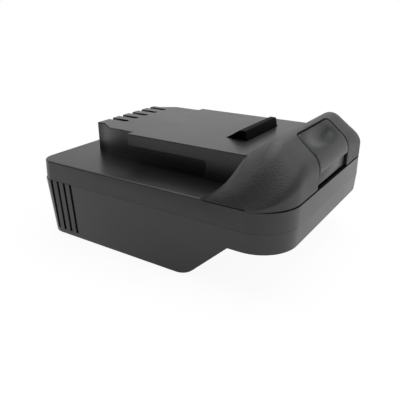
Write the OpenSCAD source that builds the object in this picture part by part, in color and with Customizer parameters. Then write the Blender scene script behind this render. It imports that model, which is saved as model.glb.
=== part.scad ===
// Slide-on battery adapter for a cordless tool. The top copies a slide pack: a rail
// platform, a slotted terminal tongue, a spring latch and a thumb button in the nose.
// The underside is the channel that another battery slides into from the nose end.
// +X points to the nose, +Z is up, and the origin is under the middle of the part.

/* [Body] */
// Overall length, from the back of the skirt to the nose
length = 97.9; // [92:0.5:112]
// Overall width, at the top of the skirt
width = 78.6; // [76:0.2:88]
// Height of the lower parting line, where skirt and deck meet
skirt_z = 21.7; // [21:0.1:24]
// Height of the deck beside the platform
deck_z = 28.6; // [28.2:0.2:32]
// How far the deck stands back from the skirt at the sides and the back
deck_inset = 0.4; // [0:0.1:1]
// How far the skirt leans in towards its bottom edge, at each side
skirt_draft = 1.2; // [0.5:0.1:2.6]
// Corner radius of the back, seen from above
rear_corner_r = 6; // [3:0.5:9]
// Corner radius of the nose, seen from above
nose_corner_r = 12.5; // [8:0.5:16]
// Thickness of the moulded walls
wall = 2.2; // [1.8:0.1:2.6]

/* [Rail platform] */
// Height of the platform top
platform_z = 39.2; // [38.6:0.2:43]
// Width over the two rail flanges
flange_w = 48.4; // [46:0.2:52]
// Thickness of the rail flanges
flange_t = 4.5; // [3.4:0.1:5.2]
// Width of the platform under its flanges
core_w = 42.6; // [41:0.2:44]
// Where the flanges start, from the back
flange_start = 31.2; // [26:0.2:40]
// Where the rail grooves end, from the back
groove_end = 63.6; // [56:0.2:66]
// Width of the terminal tongue
tongue_w = 34.8; // [34:0.2:36]
// Where the tongue starts, from the back
tongue_start = 10.2; // [8:0.1:11]
// Length of the tongue's straight sides
tongue_len = 3.6; // [2:0.2:5]
// Length of the bevels that lead from the tongue to the platform
bevel_len = 6.2; // [4:0.2:7]

/* [Terminals] */
// Distance from one terminal slot to the next
slot_pitch = 5.9; // [5.7:0.1:6]
// How far the terminal slots stand to the left of the middle
slot_side = 2; // [0:0.1:2]
// Width of a terminal slot
slot_w = 2.2; // [1.6:0.1:3]
// Length of a terminal slot
slot_len = 9; // [7:0.5:10]
// Depth of a terminal slot below the platform top
slot_depth = 7; // [6:0.5:7.5]
// Thickness of the contact strip and the battery blades
strip_t = 0.6; // [0.4:0.1:0.8]
// Length of a battery blade ahead of its block
blade_len = 14; // [8:1:18]
// Diameter of the power wires
power_wire_d = 2.4; // [1.6:0.2:2.8]
// Diameter of the sense wires
sense_wire_d = 1.2; // [0.8:0.1:1.8]
// Thickness of the terminal board
board_t = 1.6; // [1:0.2:2]

/* [Nose] */
// Distance from the end of the platform to the front of the nose
nose_len = 19.4; // [18.5:0.1:21]
// Height at which the upright front starts to roll back
chin_z = 34.3; // [33.5:0.1:36]
// Radius of the roll from the front to the thumb slope
front_r = 7; // [5:0.5:8]
// Angle of the thumb slope
front_slope = 40; // [34:1:42]
// Angle of the slope that rises from the platform
rear_slope = 35; // [30:1:40]
// Radius of the crest between the two slopes
crest_r = 3.5; // [2:0.5:5]
// Width of the rounded flank on each side
flank_w = 14.9; // [13:0.1:16]
// How far the flank's back edge sweeps to the rear
flank_sweep = 7; // [3:0.2:8]

/* [Latch and button] */
// How far the button and the latch go down
travel = 3.5; // [2:0.1:3.6]
// Width of the latch tooth
latch_w = 23.8; // [20:0.2:26]
// How far the latch tooth stands to the left of the middle
latch_side = 2; // [0:0.1:2]
// Length of the latch tooth
latch_len = 7.6; // [6:0.2:9]
// Length of the flat along the top of the latch tooth
latch_flat = 2.2; // [1:0.2:3]
// Height of the latch tooth above the platform
latch_h = 3.1; // [2.4:0.1:3.5]
// Distance from the end of the platform back to the latch tooth
latch_back = 7.6; // [6.8:0.2:8]
// Width of the button opening
button_w = 27.5; // [27:0.5:30]
// Distance from the front of the nose to the top edge of the button
button_depth = 8.8; // [8.6:0.1:9.6]
// Depth of the thumb scoop
scoop_depth = 1.5; // [0.6:0.1:1.8]
// Mean coil diameter of the latch springs
spring_d = 6.2; // [5.4:0.2:7.4]
// Wire diameter of the latch springs
spring_wire_d = 0.8; // [0.5:0.1:0.9]
// Turns of each latch spring
spring_turns = 5; // [4:1:6]

/* [Battery channel] */
// Clear width of the channel above its rails
channel_w = 68; // [64:0.5:69]
// Width between the channel's rails
channel_gap = 58; // [50:0.5:60]
// Thickness of the channel's rails
rail_t = 4.5; // [3:0.1:5]
// Height of the channel's ceiling
ceiling_z = 14.5; // [13.5:0.1:15]
// Where the channel starts, from the back
channel_start = 13.4; // [12.6:0.2:15]
// Distance from the front of the nose back to the end of the skirt's flat bottom
skirt_short = 37; // [34:0.2:45]
// Angle at which the skirt rises to the nose
rise_angle = 43; // [38:1:50]
// Height of the nose's underside
under_z = 14.8; // [14.2:0.1:17]

/* [Grip ribs] */
// Grooves at each rear corner
groove_count = 4; // [2:1:6]
// Distance from one groove to the next
groove_pitch = 3.2; // [2.6:0.1:4]
// Width of a groove
groove_w = 1.1; // [0.8:0.1:1.6]
// Depth of a groove
groove_depth = 0.7; // [0.5:0.1:1.2]

/* [Screws] */
// Diameter of the housing screws
housing_screw_d = 3; // [2.5:0.1:3.2]
// Length of the housing screws
housing_screw_len = 12.5; // [11:0.5:13]
// Diameter of the small screws
small_screw_d = 2; // [1.6:0.1:2.2]

/* [Clearances] */
// Gap round what moves
run_gap = 0.3; // [0.2:0.05:0.4]
// Gap between fixed pieces
seat_gap = 0.1; // [0.05:0.05:0.2]

/* [Hidden] */
$fn = 48;

charcoal = "#2f3132";
button_grey = "#2b2d2e";
latch_black = "#262829";
tray_black = "#1d1f20";
brass = "#c79a4b";
board_green = "#1f5b3c";
steel = "#9aa0a5";
through = 1;
hole_fn = 32;

// Heights inside the shell
seam_drop = 0.5;
seam_z = deck_z - seam_drop;
deck_under = deck_z - wall;
platform_under = platform_z - wall;
floor_z = ceiling_z + wall;
nose_floor_z = under_z + wall;
board_top = deck_under;
board_z = board_top - board_t;

// Outline of the deck
deck_half = width / 2 - deck_inset;
junction_x = length - nose_len;
platform_end = junction_x - seat_gap;
core_start = tongue_start + tongue_len + bevel_len;
skirt_len = length - skirt_short;

// Screw heads as diameter and height, and where the screws stand in from the end and the side
housing_head = [5.6, 2];
small_head = [4.2, 1.4];
carrier_screw_len = 8;
block_screw_len = 10;
rear_screw_in = 7.9;
nose_screw_in = 12.5;
screw_side = 11;
rear_screw = [rear_screw_in, deck_half - screw_side];
nose_screw = [length - nose_screw_in, deck_half - screw_side];
rear_seat = 1;
nose_seat = 4;
rear_seat_z = ceiling_z - rear_seat;
nose_seat_z = under_z + nose_seat;
boss_wall = 2;
small_boss_wall = 1.7;
boss_d = housing_screw_d + 2 * boss_wall;
foot_boss_d = boss_d + 1;
small_boss_d = small_screw_d + 2 * small_boss_wall;
cover_boss_h = 6.4;
hole_gap = 0.4;
blind_end = 0.9;

// Latch frame and springs
window_x = junction_x - latch_back - latch_len;
plate_rise = 2;
plate_t = 2.5;
plate_w = 22;
plate_in = 5.1;
plate_top = deck_z + plate_rise;
plate_z = plate_top - plate_t;
plate_end = length - plate_in;
tunnel_gap = 1;
tunnel_roof = 3.5;
tunnel_w = plate_w + 2 * tunnel_gap;
tunnel_top = platform_z - tunnel_roof;
stop_t = 2.5;
skirt_in = 1.4;
skirt_t = 1.9;
skirt_gap = 0.6;
skirt_low = deck_z + skirt_gap;
skirt_face = length - skirt_in;
spring_in = 13.9;
spring_x = length - spring_in;
spring_y = 7;
spring_pin_gap = 1.2;
spring_pin_len = 2.5;
spring_pin_d = spring_d - 2 * spring_pin_gap;
spring_pin_z = plate_z - spring_pin_len;
spring_post_top = spring_pin_z - travel - seat_gap;
lip_drop = 0.9;
button_lip_z = chin_z - lip_drop;
button_back = length - button_depth + run_gap;
post_in = 1.8;
post_x = button_back + post_in;
post_y = 6;
post_d = 2.6;
rib_w = 1.8;

// Contacts and carrier
slot_rows = [for (i = [-2 : 2]) slot_side + i * slot_pitch];
contact_w = 3.5;
contact_h = 4;
contact_z = platform_z - slot_depth;
chamber_gap = 0.45;
chamber_w = contact_w + 2 * chamber_gap;
web_h = 1;
tail_w = 1.5;
tail_end = 0.8;
mouth_in = 5.5;
cavity_in = 12.5;
mouth_x = tongue_start + mouth_in;
cavity_x = tongue_start + cavity_in;
carrier_gap = 0.4;
carrier_w = core_w - 2 * (wall + carrier_gap);
carrier_len = 6;
carrier_wall = 1;
carrier_back = cavity_x + carrier_len;
ear_t = 3.2;
ear_w = 6;
ear_len = 6.2;
ear_y = 10;
carrier_screw = [carrier_back + ear_len / 2, ear_y];
board_len = 20;
board_end = cavity_x + board_len;
resistor = [3.2, 1.6, 0.6];
resistor_in = 4;
resistor_x = board_end - resistor_in;
tail_in = 3;
tail_x = cavity_x + tail_in;

// Battery terminals
block_len = 9.7;
block_w = 44;
block_h = 8;
block_gap = 0.3;
block_x = channel_start + block_gap;
block_end = block_x + block_len;
block_z = ceiling_z - block_h;
blade_pitch = 10;
blade_rows = [for (i = [0 : 3]) (i - 1.5) * blade_pitch];
blade_low = 1.6;
blade_h = 4.6;
blade_z = block_z + blade_low;
tail_back = 1;
blade_tail_w = 3.6;
blade_tail_h = 3.6;
blade_tail = [block_x + tail_back, block_x + tail_back + blade_tail_w];
tail_top = floor_z + blade_tail_h;
block_screw_in = 6.4;
block_screw = [block_x + block_screw_in, blade_pitch];
block_seat = 2.6;
block_seat_z = block_z + block_seat;
block_boss_h = 3.8;

// Helper shapes, in millimetres from the back of the skirt
module place() translate([-length / 2, 0, 0]) children();
module both_sides() {
    children();
    mirror([0, 1, 0]) children();
}
module block(x, y, z) translate([x[0], y[0], z[0]]) cube([x[1] - x[0], y[1] - y[0], z[1] - z[0]]);
module bar(x, w, z) block(x, [-w / 2, w / 2], z);
module side_profile(points, w) translate([0, w / 2, 0]) rotate([90, 0, 0])
    linear_extrude(w) polygon(points);
module post(at, d, z) translate([at[0], at[1], z[0]]) cylinder(d = d, h = z[1] - z[0], $fn = hole_fn);
function arc(c, r, from, to, n) = [for (i = [0 : n])
    let (a = from + (to - from) * i / n) c + r * [cos(a), sin(a)]];

// Plan outline with its own radius at the back and at the nose
module plan(back, front, half, r_back, r_front) {
    translate([back + r_back, -half]) square([front - back - r_back - r_front, 2 * half]);
    translate([back, r_back - half]) square([r_back + through, 2 * (half - r_back)]);
    translate([front - r_front - through, r_front - half])
        square([r_front + through, 2 * (half - r_front)]);
    for (side = [-1, 1]) {
        translate([back + r_back, side * (half - r_back)]) circle(r_back);
        translate([front - r_front, side * (half - r_front)]) circle(r_front);
    }
}
module deck_plan(inset = 0) plan(deck_inset + inset, length - inset, deck_half - inset,
    rear_corner_r - inset, nose_corner_r - inset);

// Plan of the deck behind the nose cover, whose edge sweeps back at the flanks
module open_deck_plan() intersection() {
    deck_plan();
    polygon(concat([[0, -width / 2]], [for (y = cover_rows) [back_x(y) - seat_gap, y]], [[0, width / 2]]));
}

// Nose section along the middle, as distance behind the front and height
front_c = [front_r, chin_z];
front_t = front_c + front_r * [-sin(front_slope), cos(front_slope)];
crest_run = (front_t[1] - platform_z + tan(front_slope) * (nose_len - front_t[0]))
    / (sin(rear_slope) + tan(front_slope) * cos(rear_slope));
crest_v = [nose_len - crest_run * cos(rear_slope), platform_z + crest_run * sin(rear_slope)];
crest_t = crest_v - crest_r * tan((front_slope + rear_slope) / 2) * [cos(front_slope), sin(front_slope)];
crest_c = crest_t + crest_r * [sin(front_slope), -cos(front_slope)];
nose_curve = concat(
    arc(front_c, front_r, 180, 90 + front_slope, 7),
    arc(crest_c, crest_r, 90 + front_slope, 90 - rear_slope, 6),
    [[nose_len, platform_z]]);

// The flank rounds off from the middle section to a steep foot, which tails back along the deck
flank_shoulder = 1.5;
flank_foot = 0.75;
flank_tail = 8;
function flank(y) = min(1, max(0, abs(y) - flank_top) / flank_w);
function rise(y) = pow(1 - pow(flank(y), flank_shoulder), flank_foot);
function front_x(y) = let (c = max(0, abs(y) - deck_half + nose_corner_r))
    length - nose_corner_r + sqrt(max(0, nose_corner_r * nose_corner_r - c * c));
function back_x(y) = junction_x - flank_sweep * pow(flank(y), flank_tail);
function nose_section(y, inset, drop, bottom) =
    let (front = front_x(y) - inset, back = back_x(y) + inset, k = (front - back) / nose_len)
    concat(
        [[front, y, bottom]],
        [for (p = nose_curve) [front - k * p[0], y, deck_z + (p[1] - deck_z) * rise(y) - drop]],
        [[back, y, bottom]]);

// Solid through sections that all have as many points
module skin(sections) {
    n = len(sections[0]);
    last = len(sections) - 1;
    sides = [for (j = [0 : last - 1], i = [0 : n - 1]) [j * n + i, j * n + (i + 1) % n]];
    polyhedron(
        points = [for (s = sections) each s],
        faces = concat(
            [for (s = sides) [s[0], s[1], s[1] + n]],
            [for (s = sides) [s[0], s[1] + n, s[0] + n]],
            [[for (i = [n - 1 : -1 : 0]) i]],
            [[for (i = [0 : n - 1]) last * n + i]]));
}
function mirrored(half) = concat([for (i = [len(half) - 1 : -1 : 0]) -half[i]], half);
flank_top = deck_half - flank_w;
flank_steps = 14;
cover_rows = mirrored([for (i = [0 : flank_steps])
    flank_top + (deck_half - flank_top) * sin(90 * i / flank_steps)]);
rim_w = 7;
cavity_edge = deck_half - rim_w;
cavity_steps = 6;
cavity_rows = mirrored([for (i = [0 : cavity_steps])
    flank_top + (cavity_edge - flank_top) * i / cavity_steps]);

// Pan-head screw with a cross recess, its head below and its tip up
module screw(d, head, len) {
    cross = head[0] * 0.6;
    difference() {
        union() {
            translate([0, 0, -head[1]]) cylinder(d = head[0], h = head[1], $fn = hole_fn);
            cylinder(d = d, h = len, $fn = hole_fn);
        }
        for (turn = [0, 90])
            rotate([0, 0, turn]) translate([-cross / 2, -head[0] / 14, -head[1] - through])
                cube([cross, head[0] / 7, head[1] / 2 + through]);
    }
}

// Plan of the button opening: straight out at the front, rounded at its back corners
button_corner_r = 2.5;
module button_plan(gap) {
    r = button_corner_r - gap;
    back = length - button_depth + gap;
    half = button_w / 2 - gap;
    translate([back + r, -half]) square([button_depth + through, 2 * half]);
    translate([back, r - half]) square([r + through, 2 * (half - r)]);
    for (side = [-1, 1]) translate([back + r, side * (half - r)]) circle(r);
}

// Top moulding: deck, side band, rail platform and terminal tongue
module platform_solid() {
    half = core_w / 2;
    tongue = tongue_w / 2;
    bevel_x = tongue_start + tongue_len;
    translate([0, 0, deck_under]) linear_extrude(platform_z - deck_under) polygon([
        [tongue_start, -tongue], [bevel_x, -tongue], [core_start, -half], [platform_end, -half],
        [platform_end, half], [core_start, half], [bevel_x, tongue], [tongue_start, tongue]]);
    bar([flange_start, platform_end], flange_w, [platform_z - flange_t, platform_z]);
    bar([groove_end, platform_end], flange_w, [deck_under, platform_z]);
}
module terminal_slots() for (y = slot_rows) translate([0, y, 0]) {
    slot_end = tongue_start + slot_len - slot_w / 2;
    bar([tongue_start - through, slot_end], slot_w, [contact_z, platform_z + through]);
    post([slot_end, 0], slot_w, [contact_z, platform_z + through]);
    bar([mouth_x, cavity_x + through], chamber_w, [contact_z - chamber_gap, platform_under]);
}
module upper_housing() color(charcoal) place() difference() {
    well_w = 2 * (nose_screw[1] - boss_d / 2 + through / 2);
    union() {
        difference() {
            union() {
                translate([0, 0, skirt_z]) linear_extrude(seam_z - skirt_z) deck_plan();
                translate([0, 0, seam_z]) linear_extrude(deck_z - seam_z) open_deck_plan();
                platform_solid();
            }
            translate([0, 0, skirt_z - through])
                linear_extrude(deck_under - skirt_z + through) deck_plan(wall);
            bar([cavity_x, junction_x - wall], core_w - 2 * wall, [deck_under - through, platform_under]);
            bar([junction_x - wall - through, length - wall], tunnel_w, [deck_under - through, tunnel_top]);
            bar([junction_x + wall, length - wall], well_w, [deck_under - through, deck_z + through]);
            bar([length - wall - through, skirt_face + run_gap], button_w - 2 * (rib_w - run_gap),
                [skirt_low - travel - run_gap, deck_z + through]);
        }
        both_sides() post(rear_screw, boss_d, [skirt_z, deck_under]);
        both_sides() post(nose_screw, boss_d, [skirt_z, seam_z]);
        both_sides() block([nose_screw[0] - wall / 2, nose_screw[0] + wall / 2],
            [nose_screw[1], deck_half - wall / 2], [skirt_z, seam_z]);
        both_sides() post(carrier_screw, small_boss_d, [board_top + ear_t, platform_under]);
    }
    terminal_slots();
    translate([0, latch_side, 0]) bar([window_x - run_gap, window_x + latch_len + run_gap],
        latch_w + 2 * run_gap, [platform_under - through, platform_z + through]);
    both_sides() post(rear_screw, housing_screw_d + seat_gap, [skirt_z - through, deck_z - 2 * blind_end]);
    both_sides() post(nose_screw, housing_screw_d + hole_gap, [skirt_z - through, seam_z + through]);
    both_sides() post(carrier_screw, small_screw_d + seat_gap, [board_top, platform_under - blind_end]);
}

// Grained nose moulding with its rounded flanks and the button opening
module nose_cover() color(charcoal) place() difference() {
    hole_top = seam_z + cover_boss_h - blind_end;
    skin([for (y = cover_rows) nose_section(y, 0, 0, seam_z)]);
    difference() {
        skin([for (y = cavity_rows) nose_section(y, wall, wall, seam_z - through)]);
        both_sides() post(nose_screw, boss_d, [seam_z - 2 * through, crest_v[1]]);
    }
    translate([0, 0, seam_z - through]) linear_extrude(platform_z) button_plan(0);
    bar([junction_x - through, junction_x + 2 * wall], tunnel_w, [seam_z - through, tunnel_top]);
    both_sides() post(nose_screw, housing_screw_d + seat_gap, [seam_z - through, hole_top]);
}

// Bottom moulding: leaning skirt, battery channel with its two rails, nose floor
bottom_r = 10;
rise_x = skirt_len + bottom_r * sin(rise_angle)
    + (under_z - bottom_r * (1 - cos(rise_angle))) / tan(rise_angle);
heel = [[1.05, 2.2], [2.3, 0]];
module skirt_profile() side_profile(concat(
    [[-through, skirt_z], [-through, heel[0][1]], heel[0], heel[1]],
    arc([skirt_len, bottom_r], bottom_r, -90, rise_angle - 90, 6),
    [[rise_x, under_z], [length + through, under_z], [length + through, skirt_z]]), width + 2 * through);
module skirt_solid() intersection() {
    lean = [1 - 2 * skirt_draft / length, 1 - 2 * skirt_draft / width];
    translate([length / 2, 0, skirt_z]) mirror([0, 0, 1])
        linear_extrude(skirt_z, scale = lean, slices = 1)
            translate([-length / 2, 0]) plan(0, length, width / 2, rear_corner_r, nose_corner_r);
    skirt_profile();
}
groove_start = 6.4;
groove_low = 2;
module grip_grooves() both_sides() for (i = [0 : groove_count - 1])
    translate([groove_start + i * groove_pitch, width / 2, skirt_z])
        rotate([-atan(skirt_draft / skirt_z), 0, 0])
            block([-groove_w / 2, groove_w / 2], [-groove_depth, 3 * through],
                [groove_low - skirt_z, through]);
module battery_channel() {
    bar([channel_start, length + through], channel_gap, [-through, ceiling_z]);
    bar([channel_start, length + through], channel_w, [rail_t, ceiling_z]);
}
module lower_housing() color(charcoal) place() difference() {
    inner = wall + deck_inset;
    hollow_w = block_w;
    hollow_z = 3;
    catch_in = 6;
    catch_x = skirt_len + catch_in;
    catch_len = 5;
    catch_w = 18;
    catch_wall = 2;
    union() {
        difference() {
            skirt_solid();
            translate([0, 0, floor_z]) linear_extrude(skirt_z) intersection() {
                deck_plan(inner);
                translate([0, -width / 2]) square([rise_x - through, width]);
            }
            translate([0, 0, nose_floor_z]) linear_extrude(skirt_z) deck_plan(inner);
            bar([inner + through, channel_start - hollow_z], hollow_w, [hollow_z, skirt_z + through]);
            battery_channel();
        }
        bar([catch_x - catch_wall, catch_x + catch_len + catch_wall], catch_w + 2 * catch_wall,
            [ceiling_z, floor_z + wall]);
        both_sides() post(rear_screw, foot_boss_d, [ceiling_z, skirt_z]);
        both_sides() post(nose_screw, foot_boss_d, [under_z, skirt_z]);
        both_sides() post(block_screw, small_boss_d, [ceiling_z, floor_z + block_boss_h]);
        both_sides() post([spring_x, spring_y], spring_pin_d, [under_z + through, spring_post_top]);
    }
    grip_grooves();
    bar([catch_x, catch_x + catch_len], catch_w, [ceiling_z - through, floor_z]);
    both_sides() post(rear_screw, housing_screw_d + hole_gap, [-through, skirt_z + through]);
    both_sides() post(rear_screw, housing_head[0] + 2 * hole_gap, [-through, rear_seat_z]);
    both_sides() post(nose_screw, housing_screw_d + hole_gap, [under_z - through, skirt_z + through]);
    both_sides() post(nose_screw, housing_head[0] + 2 * hole_gap, [under_z - through, nose_seat_z]);
    both_sides() post(block_screw, small_screw_d + seat_gap,
        [ceiling_z - through, floor_z + block_boss_h - blind_end]);
    for (y = blade_rows) translate([0, y, 0])
        bar([blade_tail[0] - hole_gap, blade_tail[1] + hole_gap], strip_t + 2 * hole_gap,
            [ceiling_z - through, floor_z + through]);
}

// Thumb button, flush with the nose, with a scooped face and two posts below
module release_button() color(button_grey) place() {
    face = (front_t + crest_t) / 2;
    scoop_r = 6;
    sweep = 40;
    difference() {
        intersection() {
            side_profile(concat(
                [[length, button_lip_z]],
                [for (p = nose_curve) [length - p[0], p[1]]],
                [[junction_x, plate_top], [skirt_face - skirt_t, plate_top],
                    [skirt_face - skirt_t, skirt_low], [skirt_face, skirt_low], [skirt_face, button_lip_z]]),
                button_w);
            translate([0, 0, deck_z - through]) linear_extrude(platform_z) button_plan(run_gap);
        }
        translate([length - face[0], 0, face[1]]) rotate([0, front_slope, 0])
            translate([0, 0, sweep + scoop_r - scoop_depth]) rotate([0, -90, 0])
                rotate_extrude($fn = 128) translate([sweep, 0]) rotate(180) circle(scoop_r);
        both_sides() block([skirt_face - skirt_t - through, skirt_face + through],
            [button_w / 2 - rib_w, button_w], [deck_z - through, plate_top + rib_w]);
    }
    both_sides() post([post_x, post_y], post_d, [plate_z + seat_gap, plate_top + through]);
}

// Latch tooth, its stop flange and the plate that carries the button
module latch() color(latch_black) place() difference() {
    tooth_end = window_x + latch_len;
    stop = platform_under - run_gap;
    rim = 2;
    tip_in = 0.6;
    tip_x = tooth_end - tip_in;
    union() {
        translate([0, latch_side, 0]) {
            side_profile([[window_x, plate_top - through], [window_x, platform_z],
                [tip_x - latch_flat, platform_z + latch_h], [tip_x, platform_z + latch_h],
                [tooth_end, platform_z], [tooth_end, plate_top - through]], latch_w);
            bar([window_x - rim, tooth_end + rim], latch_w + 2 * rim, [stop - stop_t, stop]);
        }
        bar([window_x - rim, plate_end], plate_w, [plate_z, plate_top]);
        both_sides() post([spring_x, spring_y], spring_pin_d, [spring_pin_z, plate_z + through]);
    }
    both_sides() post([post_x, post_y], post_d + 2 * seat_gap, [plate_z - through, plate_top + through]);
}

// Latch springs, each one tube wound round its two pins
spring_sides = 6;
spring_rings = 8;
spring_low = nose_floor_z + spring_wire_d / 2;
spring_high = plate_z - spring_wire_d / 2;
spring_pitch = (spring_high - spring_low) / spring_turns;
function coil(t) = [spring_d / 2 * cos(360 * t), spring_d / 2 * sin(360 * t), spring_low + spring_pitch * t];
spring_gap = min([for (i = [0 : spring_rings * (spring_turns - 1)])
    norm(coil((i + spring_rings) / spring_rings) - coil(i / spring_rings))]) - spring_wire_d;
echo(str("least gap between spring turns, mm: ", spring_gap));
module latch_spring(y) color(steel) place() translate([spring_x, y, 0])
    skin([for (i = [0 : spring_rings * spring_turns])
        let (t = i / spring_rings, a = 360 * t, c = coil(t), r = spring_wire_d / 2)
        [for (s = [0 : spring_sides - 1]) let (b = -360 * s / spring_sides)
            c + [r * cos(b) * cos(a), r * cos(b) * sin(a), r * sin(b)]]]);
module latch_spring_left() latch_spring(spring_y);
module latch_spring_right() latch_spring(-spring_y);

// Tray that holds the five contacts at the end of their slots
module tail_hole(z) bar([tail_x - seat_gap, tail_x + tail_w + seat_gap], strip_t + 2 * seat_gap, z);
module contact_carrier() color(tray_black) place() difference() {
    union() {
        bar([cavity_x + seat_gap, carrier_back], carrier_w, [board_top, platform_under - seat_gap]);
        both_sides() block([carrier_back - through, carrier_back + ear_len],
            [carrier_screw[1] - ear_w / 2, carrier_screw[1] + ear_w / 2], [board_top, board_top + ear_t]);
    }
    for (y = slot_rows) translate([0, y, 0]) {
        bar([cavity_x - through, carrier_back - carrier_wall], contact_w + 2 * seat_gap,
            [contact_z, platform_z]);
        tail_hole([board_z, contact_z + through]);
    }
    both_sides() post(carrier_screw, small_screw_d + hole_gap, [board_z, platform_z]);
}

// Lyre contact: two leaves that pinch the tool's blade, a back web and a tail
module strip(points) for (i = [0 : len(points) - 2]) {
    step = points[i + 1] - points[i];
    translate(points[i]) rotate(atan2(step[1], step[0]))
        translate([0, -strip_t / 2]) square([norm(step), strip_t]);
    translate(points[i]) circle(d = strip_t, $fn = 24);
    translate(points[i + 1]) circle(d = strip_t, $fn = 24);
}
module contact(row) color(brass) place() translate([0, slot_rows[row], 0]) {
    back = carrier_back - carrier_wall - seat_gap - strip_t / 2;
    leaf = (contact_w - strip_t) / 2;
    leaf_bend = 4.5;
    leaf_pinch = 1.6;
    pinch = strip_t / 2 + seat_gap;
    translate([0, 0, contact_z]) linear_extrude(contact_h) {
        for (side = [-1, 1]) strip([[back, 0], [back, side * leaf], [mouth_x + leaf_bend, side * leaf],
            [mouth_x + leaf_pinch, side * pinch], [mouth_x + strip_t, side * leaf * 0.8]]);
    }
    bar([tail_x, back], strip_t, [contact_z, contact_z + web_h]);
    bar([tail_x, tail_x + tail_w], strip_t, [board_z - tail_end, contact_z + web_h]);
}
module contact_positive() contact(0);
module contact_sense_1() contact(1);
module contact_sense_2() contact(2);
module contact_sense_3() contact(3);
module contact_negative() contact(4);

// Board that joins the contact tails to the wires
module terminal_board() color(board_green) place() difference() {
    bar([cavity_x + seat_gap, board_end], carrier_w, [board_z, board_top]);
    for (y = slot_rows) translate([0, y, 0]) tail_hole([board_z - through, board_top + through]);
    both_sides() post(carrier_screw, small_screw_d + hole_gap, [board_z - through, board_top + through]);
}

// Chip resistor that tells the tool which pack it has
module id_resistor() color(tray_black) place()
    bar([resistor_x, resistor_x + resistor[0]], resistor[1], [board_z - resistor[2], board_z]);

// Battery-side block, screwed up against the channel's ceiling
module terminal_block() color(tray_black) place() difference() {
    bar([block_x, block_end], block_w, [block_z, ceiling_z]);
    for (y = blade_rows) translate([0, y, 0]) {
        bar([blade_tail[0] - seat_gap, block_end + through], strip_t + 2 * seat_gap,
            [blade_z - seat_gap, blade_z + blade_h + seat_gap]);
        bar([blade_tail[0] - seat_gap, blade_tail[1] + seat_gap], strip_t + 2 * seat_gap,
            [blade_z, ceiling_z + through]);
    }
    both_sides() post(block_screw, small_screw_d + hole_gap, [block_z - through, ceiling_z + through]);
    both_sides() post(block_screw, small_head[0] + 2 * hole_gap, [block_z - through, block_seat_z]);
}

// Bent-up battery blade with a pointed front and a tail for its wire
module blade(row) color(brass) place() translate([0, blade_rows[row], 0]) {
    front = block_end + blade_len;
    point = 1.2;
    side_profile([[blade_tail[0], blade_z], [front - point, blade_z], [front, blade_z + point],
        [front, blade_z + blade_h - point], [front - point, blade_z + blade_h],
        [blade_tail[1], blade_z + blade_h], [blade_tail[1], tail_top], [blade_tail[0], tail_top]], strip_t);
}
module blade_positive() blade(0);
module blade_sense_1() blade(1);
module blade_sense_2() blade(2);
module blade_negative() blade(3);

// Wires, soldered to a blade's tail and to the underside of the board
solder_drop = 1.5;
solder_in = 6.4;
wire_z = tail_top - solder_drop;
wire_end = board_end - solder_in;
wire_sides = 8;
wire_bend = (board_z - wire_z) * 0.7;
wire_route = concat(
    [[blade_tail[1], wire_z], [(blade_tail[1] + wire_end - wire_bend) / 2, wire_z]],
    arc([wire_end - wire_bend, wire_z + wire_bend], wire_bend, -90, 0, 6),
    [[wire_end, board_z]]);
module wire(row, d, colour) color(colour) place() {
    last = len(wire_route) - 1;
    skin([for (i = [0 : last])
        let (step = wire_route[min(i + 1, last)] - wire_route[max(i - 1, 0)])
        let (a = i == 0 ? 0 : (i == last ? 90 : atan2(step[1], step[0])))
        [for (s = [0 : wire_sides - 1]) let (b = 360 * s / wire_sides)
            [wire_route[i][0] - d / 2 * sin(b) * sin(a), blade_rows[row] + d / 2 * cos(b),
                wire_route[i][1] + d / 2 * sin(b) * cos(a)]]]);
}
module wire_positive() wire(0, power_wire_d, "#b3261e");
module wire_sense_1() wire(1, sense_wire_d, "#d8b23a");
module wire_sense_2() wire(2, sense_wire_d, "#e6e6e2");
module wire_negative() wire(3, power_wire_d, "#17181a");

// Screws, all driven from below
module housing_screws() color(steel) place() both_sides() {
    translate([rear_screw[0], rear_screw[1], rear_seat_z])
        screw(housing_screw_d, housing_head, housing_screw_len);
    translate([nose_screw[0], nose_screw[1], nose_seat_z])
        screw(housing_screw_d, housing_head, housing_screw_len);
}
module carrier_screws() color(steel) place() both_sides()
    translate([carrier_screw[0], carrier_screw[1], board_z])
        screw(small_screw_d, small_head, carrier_screw_len);
module block_screws() color(steel) place() both_sides()
    translate([block_screw[0], block_screw[1], block_seat_z])
        screw(small_screw_d, small_head, block_screw_len);

upper_housing();
nose_cover();
lower_housing();
release_button();
latch();
latch_spring_left();
latch_spring_right();
contact_carrier();
contact_positive();
contact_sense_1();
contact_sense_2();
contact_sense_3();
contact_negative();
terminal_board();
id_resistor();
terminal_block();
blade_positive();
blade_sense_1();
blade_sense_2();
blade_negative();
wire_positive();
wire_sense_1();
wire_sense_2();
wire_negative();
housing_screws();
carrier_screws();
block_screws();
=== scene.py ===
import math

import bmesh
import bpy
from mathutils import Matrix, Vector
from mathutils.geometry import delaunay_2d_cdt


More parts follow.
